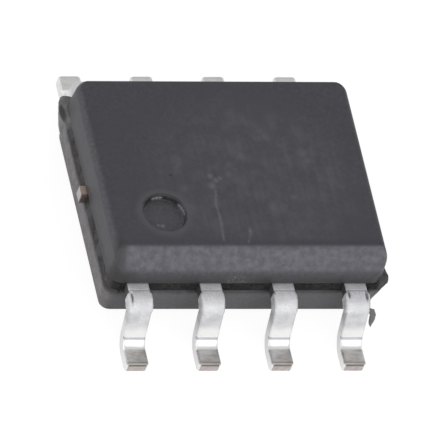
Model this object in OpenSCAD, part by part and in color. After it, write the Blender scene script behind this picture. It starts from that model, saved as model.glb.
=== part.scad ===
// Small-outline package with eight gull-wing leads, moulded round its leadframe.
// X runs along the two rows of leads, and the chamfered side, with leads 1 to 4, faces -Y.
// The origin is the package centre on the seating plane, under the feet. Sizes are in mm.

/* [Moulded body] */
// Length of the body at its parting band, along X
body_l = 4.84; // [4.8:0.01:5]
// Width of the body at its parting band, along Y
body_w = 3.86; // [3.8:0.01:4]
// Height of the half above the leads
upper_h = 0.58; // [0.55:0.01:0.7]
// Height of the half below the leads
lower_h = 0.61; // [0.5:0.01:0.7]
// Draft of the side walls, in degrees
draft = 8; // [5:0.5:10]
// Radius of the upright corners at the parting band
corner_r = 0.25; // [0.2:0.01:0.4]
// How far the chamfer on the side of lead 1 reaches into the top face
chamfer_in = 0.33; // [0.25:0.01:0.45]
// How far that chamfer drops down the side wall
chamfer_drop = 0.285; // [0.2:0.005:0.4]
// Setback of the broken parting band from the walls above and below it
band_setback = 0.03; // [0.005:0.005:0.05]

/* [Marks left by the mould] */
// Radius of the round recess beside lead 1
mark_r = 0.39; // [0.3:0.01:0.45]
// Depth of that recess
mark_depth = 0.08; // [0.03:0.01:0.1]
// Distance of the recess centre from the body's end, along X
mark_from_end = 1.04; // [0.8:0.01:1.2]
// Distance of the recess centre from the body's side, along Y
mark_from_side = 1.04; // [1:0.01:1.2]
// Radius of the ejector mark in the middle of the underside
ejector_r = 0.5; // [0.3:0.05:0.6]
// Depth of the ejector mark
ejector_depth = 0.03; // [0.01:0.01:0.05]

/* [Leads] */
// Distance between neighbouring leads
pitch = 1.27; // [1.27]
// Width of a lead
lead_w = 0.39; // [0.31:0.01:0.51]
// Thickness of the leadframe
lead_t = 0.2; // [0.17:0.01:0.25]
// Gap between the seating plane and the body
stand_off = 0.17; // [0.1:0.01:0.25]
// Width over the toes of both rows
span = 6; // [5.8:0.05:6.2]
// Straight shoulder between the body and the first bend
shoulder = 0.2; // [0.15:0.01:0.25]
// Inside radius of the bend at the shoulder
shoulder_bend_r = 0.1; // [0.08:0.01:0.14]
// Inside radius of the bend at the foot
foot_bend_r = 0.19; // [0.15:0.01:0.22]
// Slope of the leg from the horizontal, in degrees
leg_slope = 74; // [70:1:80]

/* [Die and wires] */
// Length of the die pad, along X
pad_l = 2.76; // [2.4:0.02:2.8]
// Width of the die pad, along Y
pad_w = 2.1; // [1.8:0.05:2.1]
// Drop of the die pad below the leads
pad_drop = 0.15; // [0.1:0.01:0.2]
// Width of the tie bars that carried the die pad
tie_w = 0.2; // [0.15:0.01:0.25]
// How far the cut ends of the tie bars stand out of the body
tie_proud = 0.1; // [0.02:0.01:0.12]
// Length of the silicon die
die_l = 1.5; // [1.2:0.05:1.6]
// Width of the silicon die
die_w = 1.3; // [1.1:0.05:1.4]
// Thickness of the silicon die
die_t = 0.25; // [0.2:0.01:0.28]
// Thickness of the glue under the die
glue_t = 0.03; // [0.02:0.01:0.05]
// How far the glue is squeezed out round the die
glue_rim = 0.06; // [0.03:0.01:0.1]
// Diameter of a bond wire
wire_d = 0.04; // [0.03:0.01:0.05]
// Height of a bond wire's loop above the die
loop_h = 0.12; // [0.08:0.01:0.14]

/* [Hidden] */
$fn = 64;
row_leads = 4;
lead_z = stand_off + lower_h;
lead_top = lead_z + lead_t;
body_top = lead_top + upper_h;
wall_slope = tan(draft);

// Lead: distances along "out" are counted from the body's wall, outwards.
toe = (span - body_w) / 2;
bend_out_r = shoulder_bend_r + lead_t;
leg_l = (lead_z - (bend_out_r + foot_bend_r) * (1 - cos(leg_slope))) / sin(leg_slope);
leg_out = (bend_out_r + foot_bend_r) * sin(leg_slope) + leg_l * cos(leg_slope);
foot_start = shoulder + leg_out;
bend_steps = 10;
stub_start = 0.17;
stub_steps = 5;
// Sideways remains of the dam bar on leads 1 to 8, as [towards -X, towards +X]
stub_widths = [[0.02, 0.02], [0.015, 0.01], [0.01, 0.015], [0.025, 0.02],
               [0.015, 0.01], [0.01, 0.02], [0.02, 0.015], [0.01, 0.01]];

// Lead fingers inside the body: distances along "in" are counted from the wall, inwards.
neck_in = 0.3;
flag_in = 0.68;
flag_w = 0.76;
arm_in = 1.45;
arm_reach = 0.34;

pad_z = lead_z - pad_drop;
die_z = pad_z + lead_t + glue_t;
die_top = die_z + die_t;
tie_run_in = 0.1;
tie_slope_in = 0.35;

// Bond wire: a ball on the die, a loop, and a flattened end on the lead
wire_sides = 8;
wire_rings = 14;
ball_r = 0.045;
ball_h = 0.025;
stitch_r = 0.032;
loop_lean = 1.5;

// Resin left at the gate and at the vent, in plan, counted from the body's corner there:
// the gate is by lead 8, and the vent is by lead 4.
gate_outline = [[0.12, -0.5], [0.01, -0.45], [-0.05, -0.35], [-0.08, -0.22], [-0.085, -0.07], [-0.065, 0.04],
                [0, 0.085], [0.1, 0.08], [0.22, 0.02], [0.3, -0.05]];
// The gate's remains shrink towards this point as they run down the lower half, as [drop, scale].
gate_root = [0.14, -0.2];
gate_levels = [[0.53, 0.4], [0.23, 0.8], [0, 1], [-lead_t, 1]];
vent_outline = [[-0.14, 0.7], [0.01, 0.62], [0.07, 0.46], [0.11, 0.32], [0.13, 0.18], [0.09, 0.06],
                [0, -0.01], [-0.16, 0.01], [-0.22, 0.13]];
// Chip of resin that hangs on lead 4, as an outline seen from the front
chip_outline = [[0, 0.06], [0.1, 0.03], [0.16, -0.09], [0.18, -0.23], [0.16, -0.46], [0.09, -0.34],
                [0.05, -0.12], [0, -0.03]];
chip_z = 0.82;
chip_out = 0.43;
chip_t = 0.08;

// ---- moulded body ----

// Block with upright corners rounded to r, whose walls lean in by slope as they rise
module rounded_block(l, w, h, r, slope) {
    flat_l = l - 2 * r;
    flat_w = w - 2 * r;
    rotate([90, 0, 90]) linear_extrude(flat_l, center = true) wall_section(w, h, slope);
    rotate([90, 0, 0]) linear_extrude(flat_w, center = true) wall_section(l, h, slope);
    for (x = [-1, 1], y = [-1, 1])
        translate([x * flat_l / 2, y * flat_w / 2, 0])
            cylinder(h = h, r1 = r, r2 = r - h * slope);
}

module wall_section(width, h, slope) {
    lean = h * slope;
    polygon([[-width / 2, 0], [width / 2, 0], [width / 2 - lean, h], [lean - width / 2, h]]);
}

module body_blank() {
    translate([0, 0, lead_top]) rounded_block(body_l, body_w, upper_h, corner_r, wall_slope);
    translate([0, 0, lead_z]) mirror([0, 0, 1])
        rounded_block(body_l, body_w, lower_h, corner_r, wall_slope);
    translate([0, 0, lead_z])
        rounded_block(body_l - 2 * band_setback, body_w - 2 * band_setback, lead_t,
                      corner_r - band_setback, 0);
    translate([-body_l / 2, body_w / 2, lead_z])
        tube([for (level = gate_levels) [for (p = gate_outline)
            let (q = gate_root + (p - gate_root) * level[1]) [q[0], q[1], -level[0]]]]);
    translate([body_l / 2, -body_w / 2, lead_z]) linear_extrude(lead_t) polygon(vent_outline);
}

// The chamfer's plane runs through low and high; the cutter is carried on past both.
module chamfer_cutter() {
    low = [(upper_h - chamfer_drop) * wall_slope - body_w / 2, body_top - chamfer_drop];
    high = [low[0] + chamfer_in, body_top];
    below = low - (high - low) / 2;
    above = high + (high - low) / 2;
    rotate([90, 0, 90]) linear_extrude(2 * body_l, center = true)
        polygon([below, above, [below[0], above[1]]]);
}

// Round recess cut down into a face at z, its wall leaning out by a third of its depth
module round_mark(r, depth, z) {
    lean = depth / 3;
    translate([0, 0, z - depth]) cylinder(h = 2 * depth, r1 = r - lean, r2 = r + lean);
}

module mould_body() {
    color("#4b4b50") difference() {
        body_blank();
        chamfer_cutter();
        translate([mark_from_end - body_l / 2, mark_from_side - body_w / 2, 0])
            round_mark(mark_r, mark_depth, body_top);
        mirror([0, 0, 1]) round_mark(ejector_r, ejector_depth, -stand_off);
        for (n = [1:2 * row_leads]) {
            lead(n);
            bond_wire(n);
        }
        die_pad();
        die_glue();
        silicon_die();
    }
}

// ---- leads ----

// Points of an arc about c, from angle a0 to a1
function arc(c, r, a0, a1, steps = bend_steps) =
    [for (i = [0:steps]) let (a = a0 + (a1 - a0) * i / steps) c + r * [cos(a), sin(a)]];

shoulder_centre = [shoulder, lead_z - shoulder_bend_r];
foot_centre = [foot_start, lead_t + foot_bend_r];
bend_end = 90 - leg_slope;
stub_end = 90 - leg_slope * stub_steps / bend_steps;

// Side view of the strip from the body's wall to the toe, as [out, up]
lead_profile = concat(
    [[-neck_in, lead_top]],
    arc(shoulder_centre, bend_out_r, 90, bend_end),
    arc(foot_centre, foot_bend_r, 180 + bend_end, 270),
    [[toe, lead_t], [toe, 0]],
    arc(foot_centre, foot_bend_r + lead_t, 270, 180 + bend_end),
    arc(shoulder_centre, shoulder_bend_r, bend_end, 90),
    [[-neck_in, lead_z]]);

// The stretch of the strip where the dam bar crossed it
stub_profile = concat(
    [[stub_start, lead_top]],
    arc(shoulder_centre, bend_out_r, 90, stub_end, stub_steps),
    arc(shoulder_centre, shoulder_bend_r, stub_end, 90, stub_steps),
    [[stub_start, lead_z]]);

// Extrudes a side view in [out, up] across the lead, from x0 to x1, outwards along -Y
module across(x0, x1) {
    translate([x1, 0, 0]) rotate([90, 0, -90]) linear_extrude(x1 - x0) children();
}

// Plan of the finger of a lead in the middle of its row: a flag that the wire lands on
middle_finger = [
    [-lead_w / 2, 0], [-lead_w / 2, neck_in], [-flag_w / 2, neck_in], [-flag_w / 2, flag_in],
    [flag_w / 2, flag_in], [flag_w / 2, neck_in], [lead_w / 2, neck_in], [lead_w / 2, 0]];

// Plan of the finger at the left end of a row: an arm that runs in beside the die pad
end_finger = [
    [-lead_w / 2, 0], [-lead_w / 2, arm_in], [arm_reach, arm_in], [arm_reach, neck_in],
    [lead_w / 2, neck_in], [lead_w / 2, 0]];

// Leads 1 to 4 stand along -Y from left to right, and 5 to 8 come back along +Y.
function slot_of(n) = (n - 1) % row_leads;
function in_left_half(n) = slot_of(n) < row_leads / 2;
function at_row_end(n) = slot_of(n) == 0 || slot_of(n) == row_leads - 1;

module turned_to_row(n) {
    rotate(n > row_leads ? 180 : 0) children();
}

module lead(n) {
    stub = stub_widths[n - 1];
    color("#c9c9cc") turned_to_row(n)
        translate([(slot_of(n) - (row_leads - 1) / 2) * pitch, -body_w / 2, 0]) {
            across(-lead_w / 2, lead_w / 2) polygon(lead_profile);
            across(-lead_w / 2 - stub[0], lead_w / 2 + stub[1]) polygon(stub_profile);
            translate([0, 0, lead_z]) mirror([in_left_half(n) ? 0 : 1, 0, 0])
                linear_extrude(lead_t) polygon(at_row_end(n) ? end_finger : middle_finger);
        }
}

// ---- inside the body ----

module die_pad() {
    tie_end = body_l / 2 + tie_proud;
    flat_end = pad_l / 2 + tie_run_in;
    rise_end = pad_l / 2 + tie_slope_in;
    color("#b87a52") {
        translate([-pad_l / 2, -pad_w / 2, pad_z]) cube([pad_l, pad_w, lead_t]);
        for (turn = [0, 180]) rotate(turn) rotate([90, 0, 0]) linear_extrude(tie_w, center = true)
            polygon([[0, pad_z], [flat_end, pad_z], [rise_end, lead_z], [tie_end, lead_z],
                     [tie_end, lead_top], [rise_end, lead_top], [flat_end, pad_z + lead_t],
                     [0, pad_z + lead_t]]);
    }
}

module die_glue() {
    l = die_l + 2 * glue_rim;
    w = die_w + 2 * glue_rim;
    color("#a7a9a6") translate([-l / 2, -w / 2, pad_z + lead_t]) cube([l, w, glue_t]);
}

module silicon_die() {
    color("#5b6270") translate([-die_l / 2, -die_w / 2, die_z]) cube([die_l, die_w, die_t]);
}

// Where a wire starts on the die and where it lands, for the end and middle lead at -X and -Y
end_wire = [[-0.6, -0.35, die_top], [-1.7, -1.1, lead_top]];
middle_wire = [[-0.3, -0.52, die_top], [-0.6, -1.44, lead_top]];

// Middle line of a wire from a to b: up off the die, over the loop and straight down to the lead
function wire_middle(a, b, i) =
    let (u = 180 * i / wire_rings, along = pow((1 - cos(u)) / 2, loop_lean))
    a + (b - a) * along + [0, 0, loop_h * sin(u)];

// Ring of radius r about c in the plane of two unit vectors
function ring(c, r, side, up) =
    [for (k = [0:wire_sides - 1]) let (t = 360 * (k + 0.5) / wire_sides)
        c + r * (cos(t) * side + sin(t) * up)];

// Ring square to the way the middle line runs at i
function wire_ring(a, b, i, side) =
    let (way = wire_middle(a, b, i + 1) - wire_middle(a, b, i - 1))
    ring(wire_middle(a, b, i), wire_d / 2, side, cross(side, way) / norm(way));

// A ball on the die, the loop, and a flattened end on the lead, with level rings where it lands
module bond_wire(n) {
    ends = at_row_end(n) ? end_wire : middle_wire;
    a = ends[0];
    b = ends[1];
    run = [b[0] - a[0], b[1] - a[1], 0] / norm([b[0] - a[0], b[1] - a[1]]);
    side = [run[1], -run[0], 0];
    rings = concat(
        [ring(a, ball_r, side, -run), ring(a + [0, 0, ball_h], ball_r, side, -run)],
        [for (i = [1:wire_rings - 1]) wire_ring(a, b, i, side)],
        [ring(b, stitch_r, side, run)]);
    color("#d9b45a") turned_to_row(n) mirror([in_left_half(n) ? 0 : 1, 0, 0]) tube(rings);
}

// Closed tube through equal rings of points
module tube(rings) {
    sides = len(rings[0]);
    last = len(rings) - 1;
    polyhedron(
        points = [for (ring = rings) each ring],
        faces = concat(
            [[for (k = [sides - 1:-1:0]) k]],
            [for (i = [0:last - 1], k = [0:sides - 1]) let (next = (k + 1) % sides)
                [i * sides + k, i * sides + next, (i + 1) * sides + next, (i + 1) * sides + k]],
            [[for (k = [0:sides - 1]) last * sides + k]]));
}

// Thin chip of resin against the outer side of lead 4
module resin_chip() {
    lead_side = (row_leads - 1) / 2 * pitch + lead_w / 2;
    color("#4b4b50") translate([lead_side, -body_w / 2 - chip_out, chip_z])
        rotate([90, 0, 0]) linear_extrude(chip_t, center = true) polygon(chip_outline);
}

mould_body();
lead(1);  // lead_1
lead(2);  // lead_2
lead(3);  // lead_3
lead(4);  // lead_4
lead(5);  // lead_5
lead(6);  // lead_6
lead(7);  // lead_7
lead(8);  // lead_8
die_pad();
die_glue();
silicon_die();
bond_wire(1);  // bond_wire_1
bond_wire(2);  // bond_wire_2
bond_wire(3);  // bond_wire_3
bond_wire(4);  // bond_wire_4
bond_wire(5);  // bond_wire_5
bond_wire(6);  // bond_wire_6
bond_wire(7);  // bond_wire_7
bond_wire(8);  // bond_wire_8
resin_chip();
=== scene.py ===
"""Looks of a small-outline package with eight gull-wing leads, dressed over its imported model.

Shapes are worked out in millimetres in the frame of the model and are turned into metres when a
mesh is made. X runs along the rows of leads, the row at -Y holds leads 1 to 4 from left to right,
and Z = 0 is the seating plane.
"""
import math
import bmesh
import bpy
from mathutils import Matrix, Vector, geometry, noise

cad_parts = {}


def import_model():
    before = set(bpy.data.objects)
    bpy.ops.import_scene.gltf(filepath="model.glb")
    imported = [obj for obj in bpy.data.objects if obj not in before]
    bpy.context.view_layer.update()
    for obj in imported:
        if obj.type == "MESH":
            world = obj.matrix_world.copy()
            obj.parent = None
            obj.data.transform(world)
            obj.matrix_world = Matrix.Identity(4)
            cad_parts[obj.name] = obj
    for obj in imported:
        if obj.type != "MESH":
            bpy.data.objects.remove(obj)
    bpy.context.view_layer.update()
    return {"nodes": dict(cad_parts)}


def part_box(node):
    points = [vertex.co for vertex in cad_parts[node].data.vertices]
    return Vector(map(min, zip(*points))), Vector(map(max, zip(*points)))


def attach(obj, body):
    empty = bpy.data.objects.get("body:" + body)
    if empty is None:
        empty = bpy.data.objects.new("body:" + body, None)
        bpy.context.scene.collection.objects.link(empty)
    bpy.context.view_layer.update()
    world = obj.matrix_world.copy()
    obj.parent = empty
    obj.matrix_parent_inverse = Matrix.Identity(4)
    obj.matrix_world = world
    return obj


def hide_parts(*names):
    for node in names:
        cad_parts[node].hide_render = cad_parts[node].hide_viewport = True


MM = 0.001
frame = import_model()


def box_mm(node):
    """Lowest and highest corner of a CAD node, in millimetres."""
    low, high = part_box(node)
    return Vector(low) / MM, Vector(high) / MM


# Sizes that the CAD model was built from, in millimetres
HALF_W = 1.93
VENT_PROUD = 0.13
DRAFT = math.tan(math.radians(8))
CORNER_R = 0.25
CHAMFER_IN = 0.33
CHAMFER_DROP = 0.285
UPPER_H = 0.58
LEAD_T = 0.2
LEAD_W = 0.39
PITCH = 1.27
NECK_IN = 0.3
SHOULDER = 0.2
SHOULDER_R = 0.2
FOOT_R = 0.29
LEG_SLOPE = math.radians(74)
STUB_START = 0.17
STUBS = ((0.02, 0.02), (0.015, 0.01), (0.01, 0.015), (0.025, 0.02),
         (0.015, 0.01), (0.01, 0.02), (0.02, 0.015), (0.01, 0.01))
ROW_LEADS = 4

BODY_LOW, BODY_HIGH = box_mm("mould_body")
HALF_L = BODY_HIGH.x - VENT_PROUD
TOP = BODY_HIGH.z
BOTTOM = BODY_LOW.z
BAND_TOP = TOP - UPPER_H
BAND_BOTTOM = BAND_TOP - LEAD_T
BAND_MIDDLE = BAND_TOP - LEAD_T / 2
LEFT, FRONT = -HALF_L, -HALF_W
CHAMFER_BACK = FRONT + CHAMFER_IN
TOE = box_mm("lead_6")[1].y - HALF_W


# ---------------------------------------------------------------- small helpers

SEED_STEP = (7.31, 3.77, 5.13)
ROUGH_LAYERS = 4


def clamp(value):
    return max(0.0, min(1.0, value))


def smooth(low, high, value):
    """0 below low and 1 above high, with a soft step between them."""
    t = clamp((value - low) / (high - low))
    return t * t * (3 - 2 * t)


def noise_place(point, scale, seed):
    """Where a point falls in the noise, with scale waves a millimetre."""
    return Vector(point) * scale + Vector([seed * step for step in SEED_STEP])


def wobble(point, scale, seed):
    """Smooth noise from about -1 to 1."""
    return noise.noise(noise_place(point, scale, seed))


def rough(point, scale, seed):
    """Layered noise from about -1 to 1."""
    return noise.fractal(noise_place(point, scale, seed), 0.9, 2.1, ROUGH_LAYERS)


def make_object(name, bm, materials, smooth_faces=True):
    """Turns a bmesh in millimetres into an object in metres."""
    bmesh.ops.scale(bm, vec=(MM, MM, MM), verts=bm.verts)
    bmesh.ops.recalc_face_normals(bm, faces=bm.faces)
    mesh = bpy.data.meshes.new(name)
    bm.to_mesh(mesh)
    bm.free()
    for material in materials:
        mesh.materials.append(material)
    if smooth_faces:
        mesh.shade_smooth()
    piece = bpy.data.objects.new(name, mesh)
    bpy.context.collection.objects.link(piece)
    return piece


def neighbours(ring):
    """Each item of a closed ring, with the item after it."""
    return list(zip(ring, [*ring[1:], ring[0]]))


def bridge(bm, ring_a, ring_b, material=0):
    """Joins two closed rings of the same number of vertices with quads."""
    for (a, a_next), (b, b_next) in zip(neighbours(ring_a), neighbours(ring_b)):
        corners = list(dict.fromkeys((a, a_next, b_next, b)))
        if len(corners) > 2:
            bm.faces.new(corners).material_index = material


def bridge_all(bm, rings):
    for a, b in zip(rings, rings[1:]):
        bridge(bm, a, b)


def quarter(steps):
    """Angles from 0 to a right angle."""
    return [math.pi / 2 * i / steps for i in range(steps + 1)]


# ---------------------------------------------------------------- node materials

def empty_tree(owner):
    """Node tree of a new material or world, emptied."""
    owner.use_nodes = True
    owner.node_tree.nodes.clear()
    return owner.node_tree


def add_node(tree, kind, inputs, **settings):
    """Adds a node. Its inputs are plain values, colours without alpha, or outputs of other nodes."""
    node = tree.nodes.new("ShaderNode" + kind)
    for name, setting in settings.items():
        setattr(node, name, setting)
    for name, value in inputs.items():
        if isinstance(value, bpy.types.NodeSocket):
            tree.links.new(value, node.inputs[name])
        elif value is not None:
            socket = node.inputs[name]
            socket.default_value = (*value, 1) if socket.type == "RGBA" else value
    return node


class Nodes:
    """Short calls for building a material's node tree, with places in millimetres."""

    def __init__(self, name):
        self.material = bpy.data.materials.new(name)
        self.tree = empty_tree(self.material)
        coords = self.add("TexCoord", {})
        self.mm = self.vector("SCALE", coords.outputs["Object"], scale=1 / MM)
        self.x, self.y, self.z = self.add("SeparateXYZ", {0: self.mm}).outputs
        self.colour = None

    def add(self, kind, inputs, **settings):
        return add_node(self.tree, kind, inputs, **settings)

    def vector(self, operation, first, second=None, scale=None):
        inputs = {0: first, 1: second, "Scale": scale}
        outputs = self.add("VectorMath", inputs, operation=operation).outputs
        return outputs["Value"] if operation in ("LENGTH", "DOT_PRODUCT") else outputs[0]

    def math(self, operation, first, second=None):
        return self.add("Math", {0: first, 1: second}, operation=operation).outputs[0]

    def fold(self, operation, values):
        total = values[0]
        for value in values[1:]:
            total = self.math(operation, total, value)
        return total

    def times(self, *values):
        return self.fold("MULTIPLY", values)

    def plus(self, *values):
        return self.fold("ADD", values)

    def most(self, *values):
        return self.fold("MAXIMUM", values)

    def minus(self, first, second):
        return self.math("SUBTRACT", first, second)

    def size(self, value):
        return self.math("ABSOLUTE", value)

    def ramp(self, value, low, high, to_low=0.0, to_high=1.0):
        """Soft step from to_low where the value is low to to_high where it is high."""
        inputs = {"Value": value, "From Min": low, "From Max": high, "To Min": to_low, "To Max": to_high}
        return self.add("MapRange", inputs, interpolation_type="SMOOTHSTEP").outputs[0]

    def fall(self, value, low, high, start=1.0):
        """Soft step from start down to 0."""
        return self.ramp(value, low, high, start, 0.0)

    def noise(self, scale, detail, roughness, stretch=(1, 1, 1), shift=(0, 0, 0)):
        place = self.add("Mapping", {"Vector": self.mm, "Scale": stretch, "Location": shift})
        inputs = {"Vector": place.outputs[0], "Scale": scale, "Detail": detail, "Roughness": roughness}
        return self.add("TexNoise", inputs).outputs[0]

    def cells(self, scale, feature="F1"):
        node = self.add("TexVoronoi", {"Vector": self.mm, "Scale": scale}, feature=feature)
        return node.outputs["Distance"]

    def mix(self, factor, first, second):
        return self.add("Mix", {0: factor, 6: first, 7: second}, data_type="RGBA").outputs[2]

    def paint(self, factor, colour):
        """Lays a colour over the material's colour so far, where factor is 1."""
        self.colour = self.mix(factor, self.colour, colour)

    def bump(self, height, distance, strength=1.0):
        inputs = {"Height": height, "Distance": distance * MM, "Strength": strength}
        return self.add("Bump", inputs).outputs[0]

    def near_segment(self, start, end, width):
        """1 on the line from start to end in plan, falling to 0 at width on either side."""
        start, end = Vector((*start, 0)), Vector((*end, 0))
        way = end - start
        flat = self.vector("MULTIPLY", self.mm, (1, 1, 0))
        offset = self.vector("SUBTRACT", flat, tuple(start))
        along = self.vector("DOT_PRODUCT", offset, tuple(way / way.length_squared))
        along = self.math("MINIMUM", self.most(along, 0.0), 1.0)
        foot = self.vector("SCALE", tuple(way), scale=along)
        distance = self.vector("LENGTH", self.vector("SUBTRACT", offset, foot))
        return self.fall(distance, 0.0, width)

    def near_path(self, points, widths):
        """1 on a bent line in plan, with a width for each of its runs."""
        return self.most(*[self.near_segment(*run) for run in zip(points, points[1:], widths)])

    def near_point(self, point, radius, squash=(1, 1, 1)):
        """1 at a point, falling to 0 at radius."""
        offset = self.vector("SUBTRACT", self.mm, point)
        offset = self.vector("MULTIPLY", offset, squash)
        return self.fall(self.vector("LENGTH", offset), 0.0, radius)

    def finish(self, roughness, normal, metallic=0.0, specular=0.5):
        inputs = {"Base Color": self.colour, "Roughness": roughness, "Normal": normal, "Metallic": metallic,
                  "Specular IOR Level": specular}
        shader = self.add("BsdfPrincipled", inputs)
        self.add("OutputMaterial", {"Surface": shader.outputs[0]})
        return self.material


# ---------------------------------------------------------------- moulding resin

# Marks on the top face, in plan
RECESS = Vector((-1.38, -0.89))
RECESS_R = 0.39
SCRATCH = ((-0.40, -0.44), (-0.455, -0.73), (-0.44, -0.91), (-0.44, -1.08), (-0.455, -1.29),
           (-0.465, -1.45))
SCRATCH_WIDTHS = (0.044, 0.036, 0.042, 0.048, 0.042)
NICK = ((0.04, -1.20), (0.025, -1.325), (-0.005, -1.40), (-0.04, -1.49))
NICK_WIDTHS = (0.040, 0.034, 0.030)
RUBBED_SPOTS = (((-0.435, -0.33), 0.12), ((-0.435, -0.125), 0.085), ((-0.35, -0.215), 0.09),
                ((-0.27, -0.17), 0.07), ((0.035, -1.27), 0.065))
FAINT_SPOTS = (((1.27, 0.36), 0.16), ((1.36, 0.20), 0.10), ((0.72, 0.68), 0.12), ((0.20, 0.30), 0.13),
               ((0.52, -0.74), 0.12), ((-0.05, 0.10), 0.12), ((0.95, -0.55), 0.10), ((-0.09, -0.09), 0.11))
HAZE_MIDDLE = (0.35, -0.20, TOP)
HAZE_R = 2.4
# Painted highlights on the recess, as (angle round it, distance from its middle, depth, radius)
RECESS_GLINTS = ((-105, 0.20, 0.105, 0.06), (-125, 0.22, 0.105, 0.04))
RECESS_SHINE = ((90, 0.366, 0.06, 0.065), (100, 0.366, 0.06, 0.075), (110, 0.366, 0.06, 0.065),
                (4, 0.366, 0.06, 0.055), (13, 0.366, 0.06, 0.07), (23, 0.366, 0.06, 0.075),
                (32, 0.366, 0.06, 0.065))
# Crack in the lump at the gate, in plan, counted from the body's corner there
GATE_CRACK = ((-0.083, -0.14), (-0.058, -0.29), (-0.041, -0.46), (-0.029, -0.66), (-0.025, -0.83))
CRACK_WIDTHS = (0.05,) * (len(GATE_CRACK) - 1)

TOP_DARK = (0.033, 0.0315, 0.0395)
TOP_LIGHT = (0.056, 0.054, 0.066)
TOP_COOL = (0.043, 0.043, 0.051)
HAZE_AND_HIGHLIGHT = (0.079, 0.077, 0.089)
# Painted light: the walls and the lower half are paler than the top for the light they get from the sides
# and the table
LIT_WALL_DARK = (0.052, 0.050, 0.059)
LIT_WALL_LIGHT = (0.089, 0.086, 0.100)
TABLE_LIT_DARK = (0.074, 0.072, 0.077)
TABLE_LIT_LIGHT = (0.116, 0.112, 0.119)
TABLE_LIT_END_DARK = (0.130, 0.119, 0.125)
TABLE_LIT_END = (0.205, 0.188, 0.195)
LIP_SHADE = (0.026, 0.025, 0.027)
CHIP_GREY = (0.165, 0.160, 0.160)
CHAMFER_DARK = (0.083, 0.081, 0.095)
CHAMFER_LIGHT = (0.138, 0.134, 0.157)
FRONT_SHADE = (0.018, 0.018, 0.019)
RECESS_WALL_SHADE = (0.016, 0.015, 0.018)
GLINT = (0.130, 0.129, 0.138)
SHINE = (0.26, 0.26, 0.27)
RUBBED = (0.140, 0.139, 0.148)
CRUMB = (0.15, 0.147, 0.145)
GATE_SKIN = (0.190, 0.184, 0.180)
GATE_PALE = (0.250, 0.243, 0.240)
BROKEN_DARK = (0.012, 0.012, 0.012)
BROKEN_LIGHT = (0.040, 0.038, 0.037)
BROKEN_CLOUD = (0.052, 0.048, 0.045)
BROKEN_CRUMB = (0.08, 0.077, 0.073)
BROKEN_END_DARK = (0.062, 0.058, 0.058)
BROKEN_END_LIGHT = (0.125, 0.118, 0.119)
CRACK_SHADE = (0.020, 0.019, 0.017)


def resin_material():
    """Moulding resin: a hazy top, a sanded chamfer, rubbed or soiled places, and painted light and shade on
    the walls, the front and the recess.
    """
    n = Nodes("moulding_resin")
    n.patches = n.noise(0.9, 4.0, 0.6)
    n.clouds = n.noise(3.2, 4.0, 0.62)
    n.grain = n.noise(17.0, 4.0, 0.68)
    n.speck = n.noise(55.0, 2.0, 0.7)
    n.on_top = n.ramp(n.z, TOP - 0.012, TOP - 0.003)
    n.ends = n.ramp(n.size(n.x), HALF_L - 0.22, HALF_L - 0.10)
    walls = n.fall(n.z, TOP - 0.04, TOP - 0.004)
    recess_wall, recess_rim, recess_floor = recess_masks(n)
    rubbed = n.times(n.most(scratch_mask(n), rubbed_mask(n)), n.on_top)

    resin_top(n)
    resin_walls(n, walls)
    resin_shades(n)
    # painted light in the recess: a highlight on its rim, shade on its floor and on the far side of its
    # wall, and glints
    n.paint(n.times(recess_rim, 0.55), HAZE_AND_HIGHLIGHT)
    n.paint(n.times(recess_floor, 0.35), TOP_DARK)
    far_side = n.ramp(n.y, RECESS.y + 0.10, RECESS.y + 0.25, 0.12, 0.8)
    n.paint(n.times(recess_wall, far_side), RECESS_WALL_SHADE)
    n.paint(recess_glints(n, RECESS_GLINTS), GLINT)
    n.paint(recess_glints(n, RECESS_SHINE), SHINE)
    resin_front_marks(n)
    n.paint(n.times(rubbed, 0.8), RUBBED)

    # pale skin on the lump left at the gate
    lump = n.times(gate_mask(n), n.fall(n.z, BAND_TOP - 0.01, BAND_TOP + 0.03), 0.8)
    n.paint(lump, GATE_SKIN)

    roughness = n.ramp(n.plus(n.grain, n.times(n.patches, 0.6)), 0.5, 1.1, 0.52, 0.68)
    roughness = n.minus(roughness, n.times(walls, 0.14))
    roughness = n.minus(roughness, n.times(recess_wall, 0.25))
    relief = n.minus(n.plus(n.grain, n.times(n.speck, 0.45)), n.times(rubbed, 0.5))
    return n.finish(roughness, n.bump(relief, 0.010, 0.8))


def resin_top(n):
    """Dark mottled skin, with pale haze over the middle of the top in patches and streaks."""
    n.colour = n.mix(n.ramp(n.grain, 0.3, 0.72), TOP_DARK, TOP_LIGHT)
    n.paint(n.ramp(n.patches, 0.40, 0.64, 0.0, 0.6), TOP_COOL)
    streaks = n.noise(1.0, 3.0, 0.6, stretch=(9.0, 0.5, 1.0), shift=(3.1, 0, 0))
    middle = n.near_point(HAZE_MIDDLE, HAZE_R, (0.9, 1.0, 1))
    haze = n.times(n.ramp(middle, 0.05, 0.55), n.ramp(n.clouds, 0.40, 0.66, 0.30, 1.0),
                   n.ramp(streaks, 0.35, 0.65, 0.5, 1.0), n.on_top, 0.85)
    n.paint(haze, HAZE_AND_HIGHLIGHT)

    # painted shade: a soft dark band runs along the top, beside the chamfer, and is stronger towards the
    # right
    chamfer_edge_shade = n.fall(n.y, CHAMFER_BACK + 0.06, CHAMFER_BACK + 0.22)
    chamfer_edge_shade = n.times(chamfer_edge_shade, n.on_top, n.ramp(n.x, -1.8, 1.6, 0.35, 0.85))
    n.paint(chamfer_edge_shade, TOP_DARK)


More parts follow.
